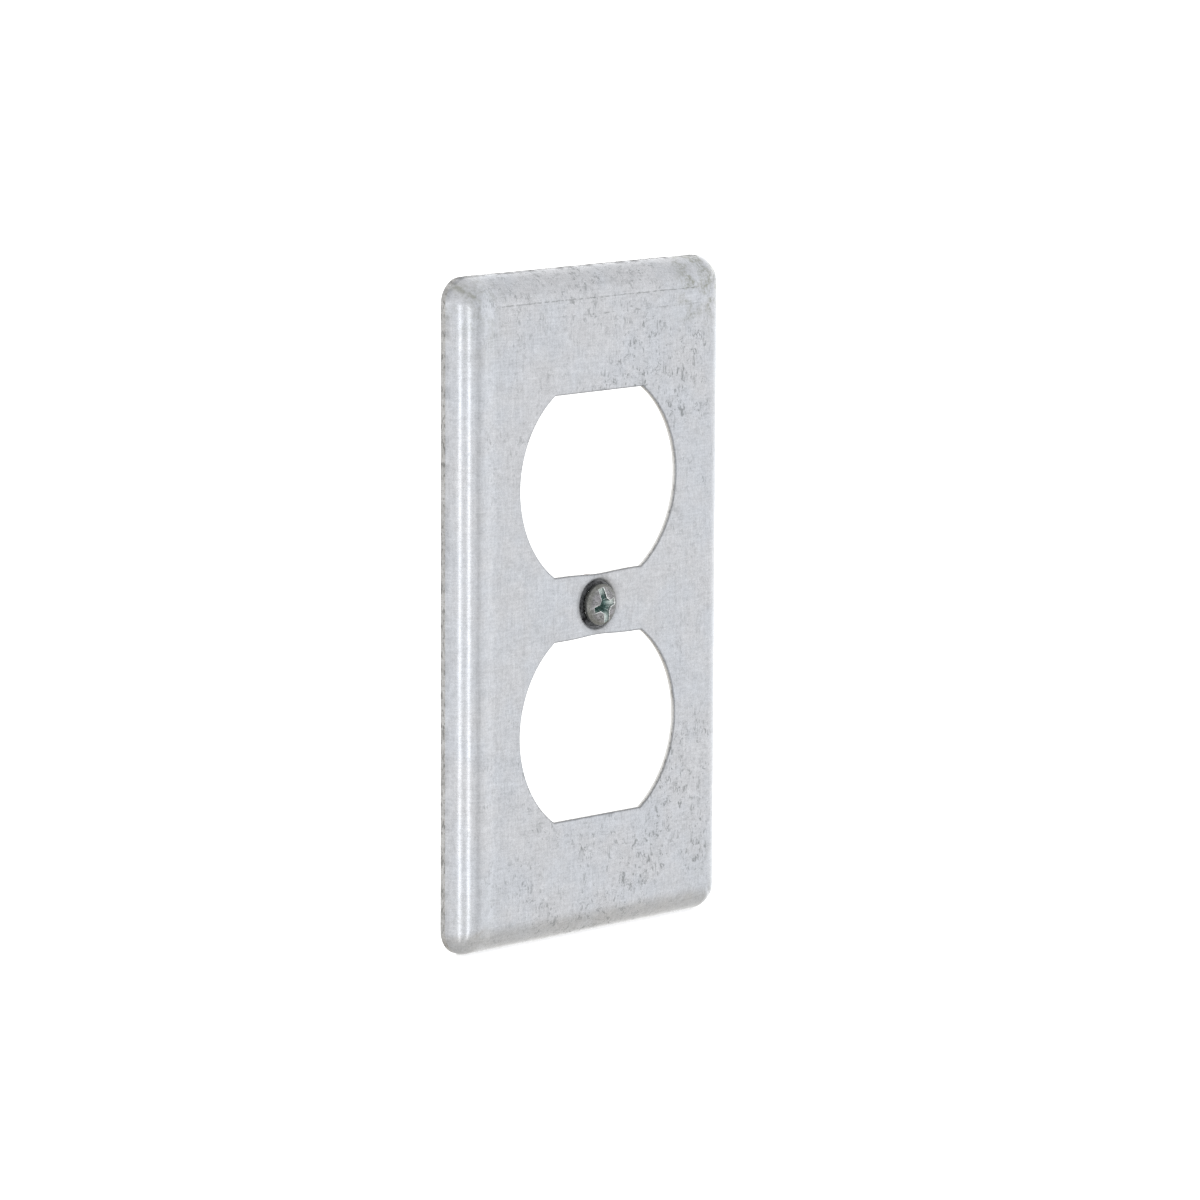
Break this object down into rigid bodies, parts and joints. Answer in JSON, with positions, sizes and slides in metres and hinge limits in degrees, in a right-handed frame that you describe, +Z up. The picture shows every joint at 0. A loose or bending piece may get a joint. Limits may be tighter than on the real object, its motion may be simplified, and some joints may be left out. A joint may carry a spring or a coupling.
{
  "type": "duplex receptacle cover",
  "caption": "Pressed-steel cover with a turned-back rim, round-sided flat-ended openings for a duplex receptacle, and a captive oval-head screw between them.",
  "frame": {"origin": "on the screw's axis, in the plane of the rim's back edge", "axes": "+Z up along the cover's height, +Y out of its back along the screw to its tip, +X to the right seen from the front"},
  "size_m": [0.0586, 0.0137, 0.1064],
  "materials": {
    "galvanised_sheet": "galvanised, satin, finely speckled",
    "zinc_plated_screw": "clear zinc plate, satin",
    "hard_fibre": "vulcanised fibre, matt"
  },
  "bodies": {
    "plate": {"cover_plate": "galvanised_sheet"},
    "retainer": {"retaining_washer": "hard_fibre"},
    "screw": {"cover_screw": "zinc_plated_screw"}
  },
  "joints": [
    {"name": "screw_turn", "type": "hinge", "parent": "plate", "child": "retainer", "pos_m": [0, -0.0025, 0], "axis": [0, -1, 0], "range_deg": [0, 3600]},
    {"name": "screw_travel", "type": "slide", "parent": "retainer", "child": "screw", "axis": [0, -1, 0], "range_m": [0, 0.00794]}
  ],
  "couplings": [
    {"joint": "screw_turn", "follows": "screw_travel", "rad_per_m": 7915.8}
  ]
}
